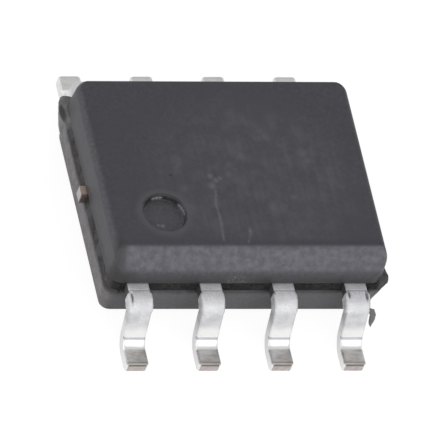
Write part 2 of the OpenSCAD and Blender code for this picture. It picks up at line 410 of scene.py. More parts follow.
def resin_walls(n, walls):
    """Below the top face the skin is coarser and is painted paler, as painted light: the walls for the
    light from the sides, and the lower half for the light from the table below, most of all at the lower
    ends.
    """
    grain = n.ramp(n.grain, 0.32, 0.68)
    n.paint(n.times(walls, 0.8), n.mix(grain, LIT_WALL_DARK, LIT_WALL_LIGHT))
    lower = n.fall(n.z, BAND_BOTTOM - 0.06, BAND_BOTTOM - 0.01)
    n.paint(lower, n.mix(grain, TABLE_LIT_DARK, TABLE_LIT_LIGHT))
    mottles = n.noise(7.0, 4.0, 0.6, shift=(0, 1.0, 4.0))
    lit_low_end = n.mix(n.ramp(mottles, 0.36, 0.62), TABLE_LIT_END_DARK, TABLE_LIT_END)
    n.paint(n.times(lower, n.ends, 0.85), lit_low_end)

    # the chamfer looks sanded, with a coarser and paler grain
    sand = n.noise(8.0, 5.0, 0.62, shift=(5.0, 2.0, 0))
    sanded = n.mix(n.ramp(sand, 0.34, 0.66), CHAMFER_DARK, CHAMFER_LIGHT)
    n.paint(n.times(chamfer_mask(n), 0.92), sanded)


def resin_shades(n):
    """Painted shade: a dark streak at the front left corner, dark lips along the parting band, and a
    darkening front.
    """
    corner = n.near_segment((LEFT + 0.14, FRONT + 0.42), (LEFT + 0.08, FRONT + 0.08), 0.17)
    corner = n.times(corner, n.ramp(n.z, BAND_TOP - 0.04, BAND_TOP - 0.01),
                     n.ramp(n.clouds, 0.2, 0.6, 0.6, 1.0), 0.85)
    n.paint(corner, LIP_SHADE)
    corner_shadow = n.near_point((LEFT + 0.20, FRONT + 0.10, BAND_TOP - 0.02), 0.50)
    n.paint(n.times(n.ramp(corner_shadow, 0.0, 0.6), 0.9), LIP_SHADE)

    gap = n.size(n.minus(n.z, BAND_MIDDLE))
    gap = n.plus(gap, n.times(n.noise(6.0, 4.0, 0.7, shift=(0, 2.0, 5.0)), 0.34))
    gap = n.minus(gap, n.times(n.ends, 0.05))
    lips = n.fall(gap, LEAD_T / 2 + 0.13, LEAD_T / 2 + 0.31, 0.9)
    lips = n.times(lips, n.minus(1.0, flush_mask(n)), n.minus(1.0, n.times(gate_mask(n), 0.9)))
    n.paint(lips, LIP_SHADE)

    # painted shade: the front wall darkens from the chamfer down to the parting band
    front_shade = n.times(n.ramp(n.y, FRONT + 0.12, FRONT + 0.05),
                   n.fall(n.z, BAND_TOP + 0.02, TOP - CHAMFER_DROP + 0.04),
                   n.ramp(n.z, BAND_TOP - 0.03, BAND_TOP - 0.01),
                   n.ramp(n.clouds, 0.25, 0.6, 0.75, 1.0), 0.93)
    n.paint(front_shade, FRONT_SHADE)


def resin_front_marks(n):
    """The chip beside lead 4 is pale, and pale crumbs lie between the middle leads."""
    n.paint(n.fall(n.y, FRONT - 0.13, FRONT - 0.09, 0.85), CHIP_GREY)
    crumbs = n.ramp(n.near_point((-0.2, FRONT + 0.03, BAND_TOP + 0.05), 0.30), 0.1, 0.6)
    n.paint(n.times(crumbs, n.ramp(n.speck, 0.53, 0.60)), CRUMB)


def recess_masks(n):
    """1 on the wall of the round recess, on its rim and on its floor."""
    offset = n.vector("SUBTRACT", n.vector("MULTIPLY", n.mm, (1, 1, 0)), (*RECESS, 0))
    distance = n.vector("LENGTH", offset)
    above = recess_height(n)
    wall = n.times(n.ramp(distance, RECESS_R - 0.085, RECESS_R - 0.05),
                   n.fall(distance, RECESS_R, RECESS_R + 0.03), above)
    rim = n.times(n.ramp(distance, RECESS_R - 0.02, RECESS_R + 0.02),
                  n.fall(distance, RECESS_R + 0.03, RECESS_R + 0.16), above)
    return wall, rim, n.times(n.fall(distance, RECESS_R - 0.10, RECESS_R - 0.06), above)


def recess_height(n):
    """1 in the layer that holds the recess, and 0 well below its floor."""
    return n.ramp(n.z, TOP - 0.3, TOP - 0.2)


def recess_glints(n, glints):
    flecks = []
    for angle, reach, depth, radius in glints:
        a = math.radians(angle)
        place = (RECESS.x + reach * math.cos(a), RECESS.y + reach * math.sin(a), TOP - depth)
        flecks.append(n.near_point(place, radius, (1, 1, 1.6)))
    return n.times(n.most(*flecks), recess_height(n))


def flush_mask(n):
    """1 where resin fills the parting band of the ends flush."""
    spots = [n.near_point((side * HALF_L, middle, BAND_MIDDLE), half * 2.0 + 0.1)
             for side, middle, half in FLUSH]
    return n.ramp(n.most(*spots), 0.2, 0.8)


def gate_mask(n):
    """1 on the lump of resin left at the gate."""
    near = n.near_point((LEFT + 0.02, HALF_W - 0.1, BAND_TOP - 0.05), 0.74, (1.0, 1.0, 1.1))
    return n.ramp(near, 0.25, 0.6)


def chamfer_mask(n):
    """1 on the chamfer's plane, softly bounded by its edges."""
    return n.times(n.fall(n.y, CHAMFER_BACK + 0.01, CHAMFER_BACK + 0.07),
                   n.ramp(n.z, TOP - CHAMFER_DROP - 0.05, TOP - CHAMFER_DROP + 0.05),
                   n.ramp(n.x, LEFT + 0.17, LEFT + 0.31))


def scratch_mask(n):
    """A thin scratch and a short nick in several runs, fainter here and there."""
    line = n.most(n.near_path(SCRATCH, SCRATCH_WIDTHS), n.near_path(NICK, NICK_WIDTHS))
    return n.times(line, n.ramp(n.grain, 0.3, 0.6, 0.2, 0.66))


def top_spots(n, spots):
    return n.most(*[n.near_point((*place, TOP), radius) for place, radius in spots])


def rubbed_mask(n):
    spots = n.most(top_spots(n, RUBBED_SPOTS), n.times(top_spots(n, FAINT_SPOTS), 0.45))
    return n.times(spots, n.ramp(n.speck, 0.34, 0.6, 0.3, 1.0))


def broken_resin_material():
    """Resin broken off at the parting band: dark, dull and grainy, and paler at the ends. Part of its
    darkness is painted shade for the set-back band.
    """
    n = Nodes("broken_resin")
    clouds = n.noise(5.0, 4.0, 0.65)
    grain = n.noise(26.0, 4.0, 0.7)
    crumbs = n.cells(24.0)
    cloudy = n.ramp(clouds, 0.35, 0.65)
    # dark grain, partly painted shade for the set-back band
    n.colour = n.mix(n.ramp(grain, 0.35, 0.7), BROKEN_DARK, BROKEN_LIGHT)
    n.paint(n.ramp(clouds, 0.45, 0.75, 0.0, 0.6), BROKEN_CLOUD)
    ends = n.times(n.ramp(n.size(n.x), HALF_L - 0.12, HALF_L - 0.05), 0.85)
    n.paint(ends, n.mix(cloudy, BROKEN_END_DARK, BROKEN_END_LIGHT))
    n.paint(n.times(flush_mask(n), 0.8), TABLE_LIT_LIGHT)
    n.paint(n.times(gate_mask(n), 0.9), n.mix(cloudy, GATE_SKIN, GATE_PALE))
    bends = [(x + LEFT, y + HALF_W) for x, y in GATE_CRACK]
    n.paint(n.times(n.near_path(bends, CRACK_WIDTHS), 0.75), CRACK_SHADE)
    n.paint(n.fall(crumbs, 0.02, 0.16, 0.35), BROKEN_CRUMB)
    relief = n.plus(grain, n.times(crumbs, 0.5))
    return n.finish(0.9, n.bump(relief, 0.016, 0.9), specular=0.2)


# ---------------------------------------------------------------- metals, glue and silicon

# Where the flat of a foot starts, counted out from the body, and X of a tie bar's cut end
FOOT_OUT = 0.793
TIE_END = 2.52
# Faint dark lines across the leads: how far out on the shoulder, and how high on the lower bend
SHOULDER_LINE_OUT = 0.128
BEND_LINE_UP = 0.302
# Dark slits on the shoulders, painted shade, as (x, y, half width)
SLITS = ((-2.055, -2.19, 0.036), (0.455, -2.11, 0.024), (1.755, -2.13, 0.040), (2.06, -2.15, 0.046))
TIN_DULL = (0.62, 0.62, 0.64)
TIN_BRIGHT = (0.78, 0.78, 0.79)
TIN_SPECK = (0.60, 0.60, 0.63)
TIN_NECK_LIT = (0.86, 0.86, 0.89)
TIN_POLISH_HIGHLIGHT = (0.94, 0.94, 0.93)
FAINT_LINE_GREY = (0.50, 0.50, 0.53)
TIN_SHADE = (0.07, 0.068, 0.066)
FOOT_SHADE_GREY = (0.62, 0.615, 0.61)
FOOT_BROWN = (0.50, 0.445, 0.43)
TOE_LINE = (0.22, 0.20, 0.175)
SHEARED_DARK = (0.54, 0.465, 0.45)
SHEARED_LIGHT = (0.60, 0.565, 0.555)
COPPER_DARK = (0.52, 0.27, 0.15)
COPPER_LIGHT = (0.68, 0.38, 0.23)
TIE_BAR = (0.84, 0.65, 0.55)
TIE_BAR_CUT = (0.56, 0.52, 0.52)
TIE_BAR_SOIL = (0.17, 0.155, 0.15)


def tin_material():
    """Tin plating, with painted shade beside the necks and on the feet, a painted highlight low down, and
    faint dark lines across the bends.
    """
    n = Nodes("tin_plating")
    n.clouds = n.noise(5.0, 3.0, 0.6)
    n.grain = n.noise(35.0, 3.0, 0.6)
    n.out = n.minus(n.size(n.y), HALF_W)
    lines = n.noise(1.0, 2.0, 0.6, stretch=(45.0, 2.2, 2.2))
    dark_line_mask = faint_dark_lines(n)

    n.colour = n.mix(n.ramp(n.clouds, 0.3, 0.7), TIN_DULL, TIN_BRIGHT)
    # painted light: the neck and shoulder are painted brighter for the light they mirror
    n.paint(n.fall(n.out, 0.16, 0.34), TIN_NECK_LIT)
    n.paint(n.ramp(n.grain, 0.40, 0.62, 0.0, 0.45), TIN_SPECK)
    # painted reflection: the lower leg and all below it are painted brighter
    n.paint(n.fall(n.z, 0.42, 0.62, 0.95), TIN_POLISH_HIGHLIGHT)
    n.paint(dark_line_mask, FAINT_LINE_GREY)
    tin_shade(n)

    # below the line across it, the lower bend is polished, and painted bright as a painted highlight
    polish_highlight = n.times(n.fall(n.z, 0.265, 0.285), n.ramp(n.out, 0.62, 0.66),
                       n.fall(n.out, FOOT_OUT - 0.02, FOOT_OUT), n.ramp(n.z, 0.15, 0.19))
    n.paint(polish_highlight, TIN_POLISH_HIGHLIGHT)
    tin_feet(n)

    roughness = n.ramp(n.plus(n.times(n.clouds, 0.6), n.times(n.grain, 0.4)), 0.3, 0.7, 0.42, 0.54)
    roughness = n.plus(roughness, n.ramp(n.z, 0.55, 0.75, 0.0, 0.16))
    roughness = n.minus(roughness, n.times(polish_highlight, 0.14))
    height = n.plus(n.times(lines, 0.7), n.times(n.grain, 0.5), n.times(n.clouds, 0.9))
    height = n.minus(height, n.times(dark_line_mask, 1.2))
    return n.finish(roughness, n.bump(height, 0.004), metallic=1.0)


def faint_dark_lines(n):
    """Faint dark lines across the shoulder and the lower bend."""
    shoulder = n.times(n.fall(n.size(n.minus(n.out, SHOULDER_LINE_OUT)), 0.008, 0.024),
                       n.ramp(n.z, BAND_TOP - 0.05, BAND_TOP - 0.03), 0.45)
    bend = n.times(n.fall(n.size(n.minus(n.z, BEND_LINE_UP)), 0.012, 0.034),
                   n.ramp(n.out, 0.56, 0.59), 0.9)
    return n.most(shoulder, bend)


def tin_shade(n):
    """Painted shade on the sides of the necks and legs, and in the dark slits beside the sheared stubs."""
    place = n.math("FRACT", n.math("DIVIDE", n.x, PITCH))
    across = n.times(n.size(n.minus(place, 0.5)), PITCH)
    painted_shade = n.times(n.ramp(across, LEAD_W / 2 - 0.014, LEAD_W / 2 - 0.004), n.fall(n.out, 0.14, 0.17))
    for x, y, radius in SLITS:
        slit = n.near_point((x, y, BAND_TOP - 0.04), radius, (1.0, 0.26, 0.35))
        painted_shade = n.most(painted_shade, n.ramp(slit, 0.0, 0.7, 0.0, 0.75))
    n.paint(n.times(painted_shade, 0.9), TIN_SHADE)
    leg_side_shade = n.times(n.ramp(across, LEAD_W / 2 - 0.02, LEAD_W / 2 - 0.005), n.ramp(n.x, -1.4, -1.1),
                    n.ramp(n.z, 0.28, 0.40), n.fall(n.z, 0.62, 0.80), 0.13)
    n.paint(leg_side_shade, TIN_SHADE)


def tin_feet(n):
    """The flat of a foot is painted a duller grey, as painted shade for the dim reflection it shows, with
    brown scuffs; the rear row gets less of it.
    """
    foot = n.times(n.ramp(n.out, FOOT_OUT - 0.038, FOOT_OUT - 0.014),
                   n.ramp(n.z, LEAD_T - 0.05, LEAD_T - 0.012))
    scuffs = n.noise(9.0, 4.0, 0.7, stretch=(0.6, 1.6, 1.0), shift=(1.7, 4.0, 0))
    foot_shade_and_scuffs = n.mix(n.ramp(scuffs, 0.44, 0.66), FOOT_SHADE_GREY, FOOT_BROWN)
    # painted shade is weaker on the rear row, whose feet show a brighter reflection
    front_row = n.ramp(n.y, -0.1, 0.1, 0.95, 0.5)
    edge = n.ramp(n.out, TOE - 0.075, TOE - 0.03)
    foot_shade_and_scuffs = n.mix(n.times(edge, 0.6, front_row), foot_shade_and_scuffs, TOE_LINE)
    n.paint(n.times(foot, front_row), foot_shade_and_scuffs)


def sheared_material():
    """Bare metal where the strip was cut: a dark smear above, and pinkish copper below."""
    n = Nodes("sheared_copper")
    streaks = n.noise(1.0, 3.0, 0.6, stretch=(40.0, 3.0, 3.0))
    clouds = n.noise(12.0, 3.0, 0.6)
    n.colour = n.mix(n.ramp(clouds, 0.35, 0.65), SHEARED_DARK, SHEARED_LIGHT)
    rolled = n.ramp(n.plus(n.z, n.times(clouds, 0.03)), 0.135, 0.175)
    n.paint(rolled, TOE_LINE)
    roughness = n.ramp(clouds, 0.3, 0.7, 0.42, 0.55)
    return n.finish(roughness, n.bump(streaks, 0.008), metallic=1.0)


def copper_material():
    """Copper alloy of the die pad, smeared silvery where its tie bars were cut off."""
    n = Nodes("copper_alloy")
    clouds = n.noise(6.0, 3.0, 0.6)
    lines = n.noise(1.0, 2.0, 0.6, stretch=(4.0, 60.0, 4.0))
    n.colour = n.mix(n.ramp(clouds, 0.3, 0.7), COPPER_DARK, COPPER_LIGHT)
    reach = n.size(n.x)
    outside = n.ramp(reach, HALF_L - 0.05, HALF_L)
    n.paint(outside, TIE_BAR)
    n.paint(n.ramp(reach, TIE_END - 0.012, TIE_END - 0.004), TIE_BAR_CUT)
    soiled = n.times(n.fall(n.y, -0.090, -0.050, 0.8), outside)
    n.paint(soiled, TIE_BAR_SOIL)
    return n.finish(n.ramp(clouds, 0.3, 0.7, 0.32, 0.46), n.bump(lines, 0.003), metallic=1.0)


def glue_material():
    n = Nodes("silver_glue")
    flakes = n.cells(55.0)
    clouds = n.noise(12.0, 3.0, 0.6)
    n.colour = n.mix(n.ramp(flakes, 0.1, 0.6), (0.62, 0.62, 0.60), (0.36, 0.36, 0.35))
    return n.finish(n.ramp(clouds, 0.3, 0.7, 0.4, 0.6), n.bump(flakes, 0.004), metallic=0.6)


def silicon_material():
    n = Nodes("silicon")
    sheen = n.noise(2.0, 2.0, 0.5)
    blocks = n.cells(9.0, "SMOOTH_F1")
    n.colour = n.mix(n.ramp(sheen, 0.35, 0.65), (0.10, 0.12, 0.17), (0.16, 0.15, 0.19))
    n.paint(n.ramp(blocks, 0.2, 0.5, 0.0, 0.5), (0.07, 0.10, 0.12))
    return n.finish(n.ramp(blocks, 0.1, 0.6, 0.12, 0.24), n.bump(blocks, 0.001), metallic=0.35)


def gold_material():
    n = Nodes("gold_wire")
    clouds = n.noise(30.0, 2.0, 0.6)
    n.colour = n.mix(n.ramp(clouds, 0.3, 0.7), (0.90, 0.64, 0.25), (0.98, 0.76, 0.36))
    return n.finish(n.ramp(clouds, 0.3, 0.7, 0.16, 0.28), n.bump(clouds, 0.001), metallic=1.0)


# ---------------------------------------------------------------- moulded body

TOP_EDGE_R = 0.16
BOTTOM_EDGE_R = 0.012
CHAMFER_EDGE_R = 0.1
CHAMFER_TOP_R = 0.055
CHAMFER_TOP_PULL = 0.9
UPPER_LIP_R = 0.03
LOWER_LIP_R = 0.055
# The upper walls stand a little steeper than the solids' and end in a wider rounding.
UPPER_DRAFT = math.tan(math.radians(4.3))
CLIP_EDGE_R = 0.016
LEAST_CORNER_R = 0.03
FLAT_RIM = 0.012
FRONT_STEPS = 230
SIDE_STEPS = 180
SOFT_STEPS = 5
ARC_STEPS = 12
LOWER_WALL_STEPS = 15
BAND_STEPS = 16
TOP_EDGE_STEPS = 20
# Gaps between the rings of the upper walls, closer within a reach of the chamfer's lower edge
RING_GAP, CLOSE_RING_GAP, CLOSE_REACH = 0.024, 0.012, 0.07
MOULDED, BROKEN = 0, 1
# How far the lips beside the parting band are worn: above it, and twice as far below it
LIP_REACH = 0.03
LIP_WEAR = 0.008
# Points closer than this are one point.
SAME_POINT = 1e-5
MERGE_WITHIN = 2e-5
BAND_DEPTH = 0.022
# How far inside the parting band its first and last rings lie, and where the wear on it starts
BAND_EDGE = 0.004
BAND_WORN_FROM = 0.003
# Share of the top edge's rounding that is missing at the back and at the right end
FULLER_BACK = 0.6
FULLER_RIGHT = 0.35
# Stretches of the ends where the parting band is filled flush, as (side, middle, half length)
FLUSH = ((-1, 1.45, 0.03), (-1, -0.33, 0.09), (-1, -1.12, 0.08), (1, 0.9, 0.1), (1, -0.2, 0.06))
# Crumbled stretch of the front's parting band, as its middle and half length
CRUMBLED_MIDDLE, CRUMBLED_HALF = -0.1, 0.28
# Outlines of the resin left at the gate and the vent, from the body's corner there
GATE_OUTLINE = ((0.12, -0.5), (0.01, -0.45), (-0.05, -0.35), (-0.08, -0.22), (-0.085, -0.07),
                (-0.065, 0.04), (0, 0.085), (0.1, 0.08), (0.22, 0.02), (0.3, -0.05))
VENT_OUTLINE = ((-0.14, 0.7), (0.01, 0.62), (0.07, 0.46), (0.11, 0.32), (0.13, 0.18), (0.09, 0.06),
                (0, -0.01), (-0.16, 0.01), (-0.22, 0.13))
# These remains shrink towards a root as they run down the lower half, as (height, scale).
GATE_ROOT = Vector((0.14, -0.2))
GATE_LEVELS = ((0.22, 0.2), (0.38, 0.48), (0.55, 0.66), (0.70, 0.80), (0.86, 1.0))
VENT_ROOT = Vector((-0.12, 0.16))
VENT_LEVELS = ((0.40, 0.35), (0.62, 0.60), (0.78, 0.76), (0.96, 1.0))
# Reach of the remains from the body's corner, along X and along Y
GATE_ZONE = (0.45, 0.62)
VENT_ZONE = (0.35, 0.85)
# Round hollows, as (middle, radius of the floor, depth, lean of the wall, steps round, fillet)
RECESS_HOLLOW = (RECESS, 0.350, 0.105, 0.026, 96, 0.016)
PIT_HOLLOW = ((-1.13, -0.10), 0.02, 0.02, 0.012, 14, 0.006)
EJECTOR_HOLLOW = ((0, 0), 0.49, 0.03, 0.01, 72, 0.012)


def soft_max(a, b, r):
    """The larger of two values, blended over r where they are close."""
    gap = a - b
    if abs(gap) >= r:
        return max(a, b)
    return (a + b) / 2 + (gap * gap + r * r) / (4 * r)


def front_line(z, wall_inset):
    """Y of the body's front at height z, which the chamfer pushes back near the top."""
    wall = wall_inset - HALF_W
    chamfer_low_z = TOP - CHAMFER_DROP
    chamfer_low_y = (UPPER_H - CHAMFER_DROP) * DRAFT - HALF_W
    chamfer = chamfer_low_y + (z - chamfer_low_z) * CHAMFER_IN / CHAMFER_DROP
    # the chamfer's upper edge is rounded over the last stretch below the top
    reach = CHAMFER_TOP_R
    if z > TOP - reach:
        chamfer += (z - TOP + reach) ** 2 / reach * CHAMFER_TOP_PULL
    return soft_max(wall, chamfer, CHAMFER_EDGE_R)


def arc(centre, r, start, end, steps):
    """Points round a centre in plan, anticlockwise, with angles counted from its front."""
    turns = [start + (end - start) * i / steps for i in range(steps + 1)]
    return [centre + r * Vector((math.sin(a), -math.cos(a))) for a in turns]


def corner_points(inset, clip_y):
    """Front right corner in plan, from the front line to the side wall: a soft bend where the
    front line cuts the round corner, then what is left of the round corner."""
    r = max(CORNER_R - inset, LEAST_CORNER_R)
    soft = CLIP_EDGE_R
    centre = Vector((HALF_L - inset - r, inset - HALF_W + r))
    inner_y = clip_y + soft
    dy = centre.y - inner_y
    inner_r = r - soft
    if dy >= inner_r:
        turn, pivot = 0.0, Vector((centre.x, centre.y - inner_r))
    elif dy > 0:
        turn = math.acos(dy / inner_r)
        pivot = Vector((centre.x + math.sqrt(inner_r ** 2 - dy ** 2), inner_y))
    else:
        turn, pivot = math.pi / 2, Vector((centre.x + inner_r, inner_y))
    points = arc(pivot, soft, 0.0, turn, SOFT_STEPS)
    if dy > 0:
        return points + arc(centre, r, turn, math.pi / 2, ARC_STEPS)[1:]
    return points + [points[-1].copy() for _ in range(ARC_STEPS)]


def straight(a, b, steps):
    """Points between a and b, without the ends."""
    return [a.lerp(b, i / steps) for i in range(1, steps)]


def mirrored(points, along_x, along_y):
    """A run of points in plan on the other side, kept anticlockwise. The signs are 1 or -1."""
    return [Vector((p.x * along_x, p.y * along_y)) for p in reversed(points)]


def plan_ring(inset, clip_y):
    """Closed outline of the body in plan, anticlockwise from the front left corner's end."""
    front_right = corner_points(inset, clip_y)
    back_right = mirrored(corner_points(inset, inset - HALF_W), 1, -1)
    back_left = mirrored(back_right, -1, 1)
    front_left = mirrored(front_right, -1, 1)
    ring = []
    last = front_left
    for corner, steps in ((front_right, FRONT_STEPS), (back_right, SIDE_STEPS),
                          (back_left, FRONT_STEPS), (front_left, SIDE_STEPS)):
        ring += straight(last[-1], corner[0], steps) + corner
        last = corner
    return ring


def lower_rows():
    """Heights and insets of the rings of the lower half, from the underside up."""
    rows = []
    for a in quarter(6):
        z = BOTTOM + BOTTOM_EDGE_R * (1 - math.cos(a))
        rows.append((z, (BAND_BOTTOM - z) * DRAFT + BOTTOM_EDGE_R * (1 - math.sin(a))))
    low, high = BOTTOM + BOTTOM_EDGE_R, BAND_BOTTOM - LOWER_LIP_R
    for i in range(1, LOWER_WALL_STEPS):
        z = low + (high - low) * i / LOWER_WALL_STEPS
        rows.append((z, (BAND_BOTTOM - z) * DRAFT))
    for a in quarter(7):
        z = high + LOWER_LIP_R * math.sin(a)
        rows.append((z, (BAND_BOTTOM - z) * DRAFT + LOWER_LIP_R * 0.8 * (1 - math.cos(a))))
    return rows


def upper_rows():
    """Heights and insets of the rings of the upper half, up to the top."""
    rows = []
    low = BAND_TOP + UPPER_LIP_R
    for a in reversed(quarter(6)):
        z = low - UPPER_LIP_R * math.sin(a)
        rows.append((z, (z - BAND_TOP) * UPPER_DRAFT + UPPER_LIP_R * (1 - math.cos(a))))
    high = TOP - TOP_EDGE_R
    z = low
    while z < high - 0.02:
        z += CLOSE_RING_GAP if abs(z - TOP + CHAMFER_DROP) < CLOSE_REACH else RING_GAP
        if z < high - 0.006:
            rows.append((z, (z - BAND_TOP) * UPPER_DRAFT))
    for i in range(TOP_EDGE_STEPS + 1):
        a = math.pi / 2 * (1 - (i / TOP_EDGE_STEPS) ** 0.8)
        z = high + TOP_EDGE_R * math.cos(a)
        rows.append((z, (high - BAND_TOP) * UPPER_DRAFT + TOP_EDGE_R * (1 - math.sin(a))))
    return rows


def body_rows():
    """Heights and insets of the body's rings, from the underside to the top."""
    band = [(BAND_BOTTOM + BAND_EDGE + (LEAD_T - 2 * BAND_EDGE) * i / BAND_STEPS, BAND_DEPTH)
            for i in range(BAND_STEPS + 1)]
    return lower_rows() + band + upper_rows()


def outline_reach(point, way, outline):
    """How far an outline reaches from a point along a direction in plan, or 0."""
    best = 0.0
    for start, end in neighbours(outline):
        a, b = start - point, end - point
        cross_a = way.x * a.y - way.y * a.x
        cross_b = way.x * b.y - way.y * b.x
        if cross_a * cross_b > 0 or cross_a == cross_b:
            continue
        hit = a.lerp(b, cross_a / (cross_a - cross_b))
        best = max(best, hit.dot(way))
    return best


def ring_normals(ring):
    """Outward directions of a closed outline in plan."""
    out = []
    count = len(ring)
    for i in range(count):
        way = ring[(i + 2) % count] - ring[(i - 2) % count]
        if way.length < 1e-9:
            way = ring[(i + 4) % count] - ring[(i - 4) % count]
        way.normalize()
        out.append(Vector((way.y, -way.x)))
    return out


def remains(z, corner, root, outline, levels):
    """Outline in plan of the resin left at the gate or the vent, at height z."""
    size = levels[0][1]
    for (low, small), (high, large) in zip(levels, levels[1:]):
        if z > low:
            size = small + (large - small) * clamp((z - low) / (high - low))
    return [corner + root + (Vector(p) - root) * size for p in outline]


def reach_at(point, way, z):
    """How far the remains at the gate or the vent stand out from a point of the body."""
    outline = []
    if point.x < LEFT + GATE_ZONE[0] and point.y > HALF_W - GATE_ZONE[1]:
        outline = remains(z, Vector((LEFT, HALF_W)), GATE_ROOT, GATE_OUTLINE, GATE_LEVELS)
    elif point.x > HALF_L - VENT_ZONE[0] and point.y < FRONT + VENT_ZONE[1]:
        outline = remains(z, Vector((HALF_L, FRONT)), VENT_ROOT, VENT_OUTLINE, VENT_LEVELS)
    return outline_reach(point, way, outline) if outline else 0.0


def band_wear(point, place, edge):
    """Roughness of the broken parting band, with the stretches that are filled flush."""
    shift = 0.016 * rough(place, 9.0, 1) + 0.007 * wobble(place, 30.0, 2)
    if abs(point.x) > HALF_L - 0.06:
        for side, middle, half in FLUSH:
            if side * point.x > 0:
                shift += 0.024 * (1 - smooth(half * 0.6, half * 1.4, abs(point.y - middle)))
        shift += 0.010 * rough(place, 4.0, 6) - 0.010
    if point.y < FRONT + 0.06:
        nearness = 1 - smooth(CRUMBLED_HALF * 0.5, CRUMBLED_HALF, abs(point.x - CRUMBLED_MIDDLE))
        shift += nearness * 0.02 * rough(place, 22.0, 5) - 0.006
    return shift * edge


def band_shift(point, reach, height):
    """How far a point of the parting band moves outwards. height runs from 0 to 1 up the band."""
    place = Vector((point.x, point.y, height * LEAD_T))
    if reach > 0.001:
        rounded = math.sqrt(clamp(1 - clamp((height - 0.80) / 0.20) ** 2))
        worn = 0.010 * rough(place, 9.0, 3) - 0.004
        return max(0.0, min(reach, reach + worn) * rounded)
    edge = smooth(0, 0.12, height) * smooth(0, 0.12, 1 - height)
    return band_wear(point, place, edge)


def round_hollow(bm, hollow, z, up):
    """Rings of a round recess: a rounded rim, a leaning wall, a fillet and the floor.
    Returns the rim's vertices."""
    centre, r, depth, lean, steps, fillet = hollow
    edge = r + lean
    profile = ((edge + fillet, 0.0), (edge + fillet * 0.55, 0.08 * fillet),
               (edge + fillet * 0.2, 0.3 * fillet), (r + lean * 0.8, 0.2 * depth + 0.3 * fillet),
               (r + lean * 0.3, 0.6 * depth), (r, depth - 0.5 * fillet),
               (r - 0.35 * fillet, depth - 0.15 * fillet), (r - fillet, depth), (r - 2 * fillet, depth))
    turns = [2 * math.pi * i / steps for i in range(steps)]
    rings = []
    for radius, down in profile:
        places = [(centre[0] + radius * math.cos(a), centre[1] + radius * math.sin(a)) for a in turns]
        rings.append([bm.verts.new((*place, z - up * down)) for place in places])
    bridge_all(bm, rings)
    bm.faces.new(rings[-1])
    return rings[0]


def fill_flat(bm, outer, holes):
    """Fills a flat face between an outer ring and round holes."""
    verts = []
    for vert in outer:
        if not verts or (vert.co - verts[-1].co).length > SAME_POINT:
            verts.append(vert)
    if (verts[0].co - verts[-1].co).length < SAME_POINT:
        verts.pop()
    edges = neighbours(range(len(verts)))
    middles = []
    for hole in holes:
        edges += neighbours(range(len(verts), len(verts) + len(hole)))
        verts += hole
        middle = sum((v.co.xy for v in hole), Vector((0, 0))) / len(hole)
        middles.append((middle, (hole[0].co.xy - middle).length))
    flat = [v.co.xy for v in verts]
    points, _, faces, origin = geometry.delaunay_2d_cdt(flat, edges, [], 1, 1e-7)[:4]
    for face in faces:
        corner = sum((points[i] for i in face), Vector((0, 0))) / len(face)
        if any((corner - m).length < r * 0.999 for m, r in middles):
            continue
        corners = [verts[origin[i][0]] for i in face]
        if len(set(corners)) == 3:
            bm.faces.new(corners)


def flat_face(bm, edge, z, inset, front, up, hollows):
    """Closes the body above or below its last ring, with round hollows in the flat."""
    ring = [bm.verts.new((p.x, p.y, z)) for p in plan_ring(inset + FLAT_RIM, front + FLAT_RIM)]
    bridge(bm, edge, ring)
    fill_flat(bm, ring, [round_hollow(bm, hollow, z, up) for hollow in hollows])


def body_ring(bm, z, inset, base, normals):
    """One ring of the moulded body, worn at the parting band and filled out at the gate and vent."""
    wall = inset - HALF_W
    clip = front_line(z, inset) if z > BAND_TOP else wall
    ring = []
    for point, start, way in zip(plan_ring(inset, max(clip, wall)), base, normals):
        spot = Vector((point.x, point.y, z))
        if BAND_BOTTOM + BAND_WORN_FROM < z < BAND_TOP - BAND_WORN_FROM:
            height = (z - BAND_BOTTOM) / LEAD_T
            spot.xy += way * band_shift(start, reach_at(start, way, z), height)
        elif z <= BAND_BOTTOM + BAND_WORN_FROM and reach_at(point, way, z) > 0:
            spot.xy += way * reach_at(point, way, z) * (1 + 0.08 * rough(spot, 6.0, 11))
        elif z > TOP - TOP_EDGE_R:
            rounding = inset - (TOP - TOP_EDGE_R - BAND_TOP) * UPPER_DRAFT
            share = FULLER_BACK * max(0.0, way.y) ** 2 + FULLER_RIGHT * max(0.0, way.x) ** 2
            spot.xy += way * share * rounding
        elif abs(z - BAND_BOTTOM) < 2 * LIP_REACH or abs(z - BAND_TOP) < LIP_REACH:
            near = 1 - min(abs(z - BAND_BOTTOM) / 2, abs(z - BAND_TOP)) / LIP_REACH
            spot.z += near * LIP_WEAR * rough(spot, 9.0, 8)
            spot.xy -= way * near * LIP_WEAR * (1 + wobble(spot, 14.0, 9))
        ring.append(bm.verts.new(spot))
    return ring


def moulded_body(material, broken):
    bm = bmesh.new()
    rows = body_rows()
    base = plan_ring(BAND_DEPTH, BAND_DEPTH - HALF_W)
    normals = ring_normals(base)
    rings = [body_ring(bm, z, inset, base, normals) for z, inset in rows]
    for a, b, (z, _), (z_next, _) in zip(rings, rings[1:], rows, rows[1:]):
        on_band = BAND_BOTTOM - BAND_EDGE < z and z_next < BAND_TOP + BAND_EDGE
        bridge(bm, a, b, BROKEN if on_band else MOULDED)
    top_z, inset = rows[-1]
    flat_face(bm, rings[-1], top_z, inset, front_line(top_z, inset), 1, [RECESS_HOLLOW, PIT_HOLLOW])
    low_z, inset = rows[0]
    flat_face(bm, rings[0], low_z, inset, inset - HALF_W, -1, [EJECTOR_HOLLOW])
    bmesh.ops.remove_doubles(bm, verts=bm.verts, dist=MERGE_WITHIN)
    piece = make_object("moulded_resin", bm, [material, broken])
    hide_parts("mould_body")
    return piece


# ---------------------------------------------------------------- leads

